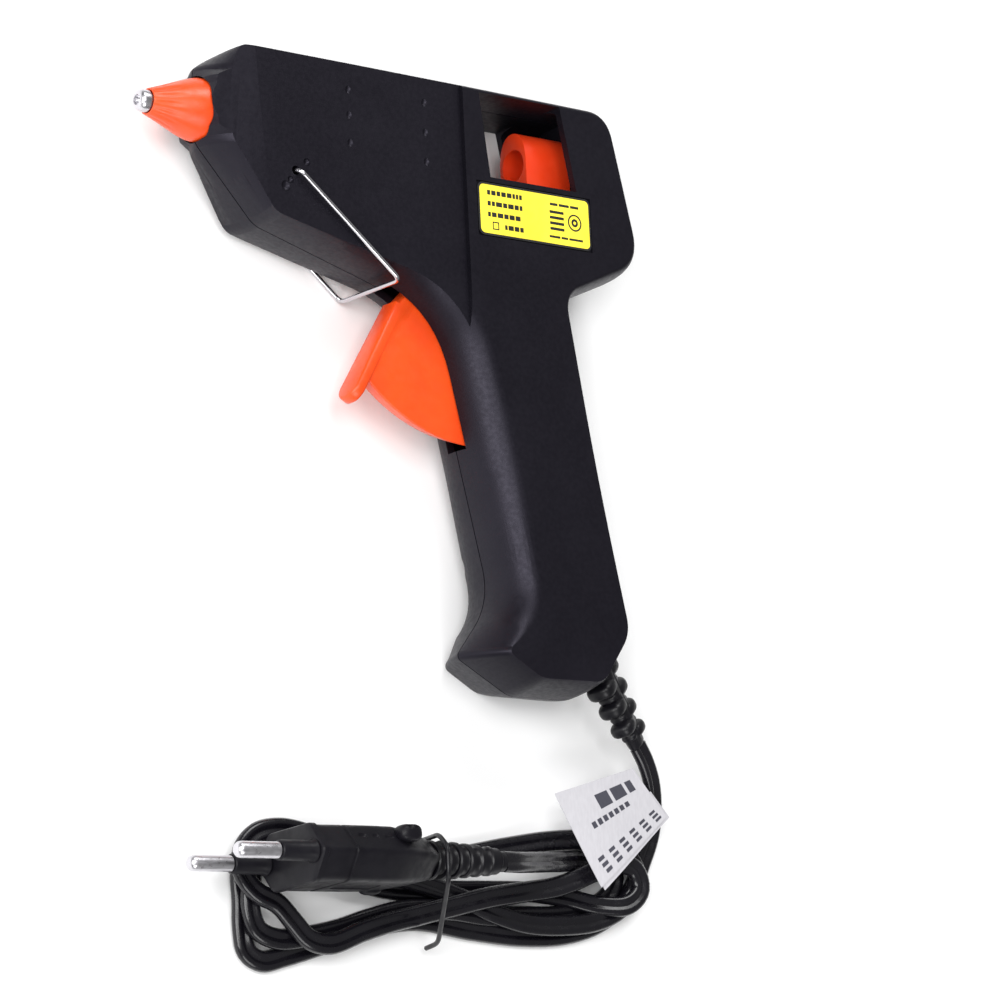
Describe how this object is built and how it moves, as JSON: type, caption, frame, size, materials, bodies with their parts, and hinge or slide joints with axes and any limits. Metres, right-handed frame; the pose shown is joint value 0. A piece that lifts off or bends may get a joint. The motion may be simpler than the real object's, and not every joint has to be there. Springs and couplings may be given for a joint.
{
  "type": "glue gun",
  "caption": "Mini hot-melt glue gun with a trigger-driven stick pusher, an orange nozzle, a fold-out wire stand, and a tied hank of mains cord with its plug.",
  "frame": {"origin": "middle of the gun's footprint on the surface it lies on, the free cord left out", "axes": "+X from the nozzle to the stick inlet, +Y up the grip to the barrel's top, +Z out of the left flank"},
  "size_m": [0.1647, 0.2267, 0.036],
  "materials": {
    "casing": "fine-grained satin black moulding",
    "orange_plastic": "satin orange moulding",
    "steel": "drawn bright wire and plated screws",
    "aluminium": "as cast",
    "brass": "plain strip",
    "ceramic": "matt heater pill",
    "silicone": "matt silicone",
    "label_film": null,
    "cord_pvc": "glossy black flexible PVC",
    "plug_plastic": "satin black moulded PVC",
    "paper_tag": null,
    "blue_insulation": "blue wire insulation",
    "brown_insulation": "brown wire insulation"
  },
  "bodies": {
    "gun": {"left_shell": "casing", "right_shell": "casing", "rating_label": "label_film", "nozzle_sleeve": "orange_plastic", "nozzle_tip": "steel", "melt_chamber": "aluminium", "ptc_heater": "ceramic", "heater_contact_live": "brass", "heater_contact_neutral": "brass", "heater_clip": "steel", "inlet_sleeve": "silicone", "sleeve_clamp": "steel", "trigger_pin": "steel", "return_spring": "steel", "wire_live": "brown_insulation", "wire_neutral": "blue_insulation", "cord_clamp": "casing", "clamp_screw_1": "steel", "clamp_screw_2": "steel", "strain_relief": "cord_pvc", "cord_lead": "cord_pvc", "cord_hank": "cord_pvc", "cord_tail": "cord_pvc", "cord_tag": "paper_tag", "twist_tie": "cord_pvc", "plug_body": "plug_plastic", "plug_relief": "cord_pvc", "plug_sleeve_1": "plug_plastic", "plug_pin_1": "steel", "plug_sleeve_2": "plug_plastic", "plug_pin_2": "steel", "casing_screw_1": "steel", "casing_screw_2": "steel", "casing_screw_3": "steel", "casing_screw_4": "steel"},
    "trigger": {"trigger": "orange_plastic"},
    "pusher": {"pusher_carriage": "orange_plastic", "pusher_pin": "steel"},
    "stand": {"wire_stand": "steel"}
  },
  "joints": [
    {"name": "trigger_pull", "type": "hinge", "parent": "gun", "child": "trigger", "pos_m": [0.024, 0.032, 0.0135], "axis": [0, 0, 1], "range_deg": [0, 25], "stiffness_Nm_per_rad": 0.033, "springref_deg": -5.73},
    {"name": "pusher_slide", "type": "slide", "parent": "gun", "child": "pusher", "axis": [-1, 0, 0], "range_m": [0, 0.0075], "deforming": ["return_spring"]},
    {"name": "stand_swing", "type": "hinge", "parent": "gun", "child": "stand", "pos_m": [-0.0352, 0.0476, 0.0135], "axis": [0, 0, 1], "range_deg": [-95, 0]}
  ],
  "couplings": [
    {"joint": "pusher_slide", "follows": "trigger_pull", "m_per_rad": 0.0169}
  ]
}
